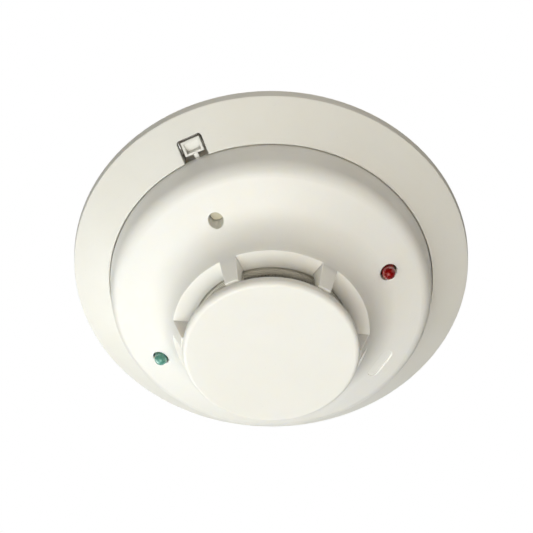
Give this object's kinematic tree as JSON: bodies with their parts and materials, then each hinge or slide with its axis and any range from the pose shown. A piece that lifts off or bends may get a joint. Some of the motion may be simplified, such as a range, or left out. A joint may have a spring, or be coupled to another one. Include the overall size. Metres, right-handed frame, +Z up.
{
  "type": "heat detector",
  "caption": "Ceiling heat detector: a domed plug-in head with a ribbed air inlet, round cap, indicator lamps and test button, on a wide flanged mounting base.",
  "frame": {"origin": "centre of the base's back face, in the plane of the ceiling, on the twist axis", "axes": "+Z up into the ceiling along the twist axis, so the detector hangs towards -Z; -Y towards the release lever and the test button, +X towards the red lamp"},
  "size_m": [0.1548, 0.1548, 0.051],
  "materials": {
    "base_plastic": "fine spark texture, satin",
    "cover_plastic": "fine spark texture, satin",
    "lever_plastic": "smooth satin",
    "button_plastic": "smooth, tan",
    "cage_plastic": "smooth satin",
    "chassis_plastic": "satin",
    "screen_mesh": "dark woven wire",
    "red_lens": "moulded epoxy, gloss",
    "green_lens": "moulded epoxy, gloss",
    "contact_metal": "plated strip",
    "pin_metal": "plain",
    "screw_metal": "zinc plated",
    "spring_metal": "drawn wire",
    "board_laminate": "solder resist",
    "chip_black": "moulded epoxy",
    "relay_case": "moulded, gloss",
    "can_sleeve": "printed sleeve, no text",
    "suppressor_coat": "dipped epoxy",
    "resistor_ceramic": "ceramic",
    "bead_epoxy": "dipped epoxy",
    "switch_case": "moulded",
    "spacer_plastic": "nylon"
  },
  "bodies": {
    "base": {"mounting_base": "base_plastic", "lever_pin": "screw_metal", "lever_spring": "spring_metal", "contact_springs": "contact_metal", "terminal_clamps": "contact_metal", "terminal_screws": "screw_metal"},
    "release_lever": {"release_lever": "lever_plastic"},
    "cap": {"cap": "cover_plastic"},
    "test_button": {"test_button": "button_plastic", "switch_key": "switch_case"},
    "head": {"head_cover": "cover_plastic", "inlet_ribs": "cover_plastic", "head_chassis": "chassis_plastic", "contact_blades": "contact_metal", "contact_pins": "pin_metal", "chassis_screws": "screw_metal", "circuit_board": "board_laminate", "alarm_relay": "relay_case", "control_chip": "chip_black", "bridge_rectifier": "chip_black", "surge_suppressor": "suppressor_coat", "capacitors": "can_sleeve", "chip_resistors": "resistor_ceramic", "red_lamp": "red_lens", "green_lamp": "green_lens", "lamp_spacers": "spacer_plastic", "test_switch": "switch_case", "sensor_post": "chassis_plastic", "sensing_thermistor": "bead_epoxy", "reference_thermistor": "bead_epoxy", "sensor_cage": "cage_plastic", "insect_screen": "screen_mesh"}
  },
  "joints": [
    {"name": "head_twist", "type": "hinge", "parent": "base", "child": "head", "pos_m": [0, 0, 0], "axis": [0, 0, -1], "range_deg": [0, 20]},
    {"name": "lever_press", "type": "hinge", "parent": "base", "child": "release_lever", "pos_m": [0, -0.0715, -0.0019], "axis": [1, 0, 0], "range_deg": [0, 10], "stiffness_Nm_per_rad": 0.12, "springref_deg": -8.59, "deforming": ["lever_spring"]},
    {"name": "button_press", "type": "slide", "parent": "head", "child": "test_button", "axis": [0, 0, 1], "range_m": [0, 0.0012], "stiffness_N_per_m": 300, "springref_m": -0.001},
    {"name": "cap_twist", "type": "hinge", "parent": "head", "child": "cap", "pos_m": [0, 0, 0], "axis": [0, 0, -1], "range_deg": [0, 30]}
  ]
}
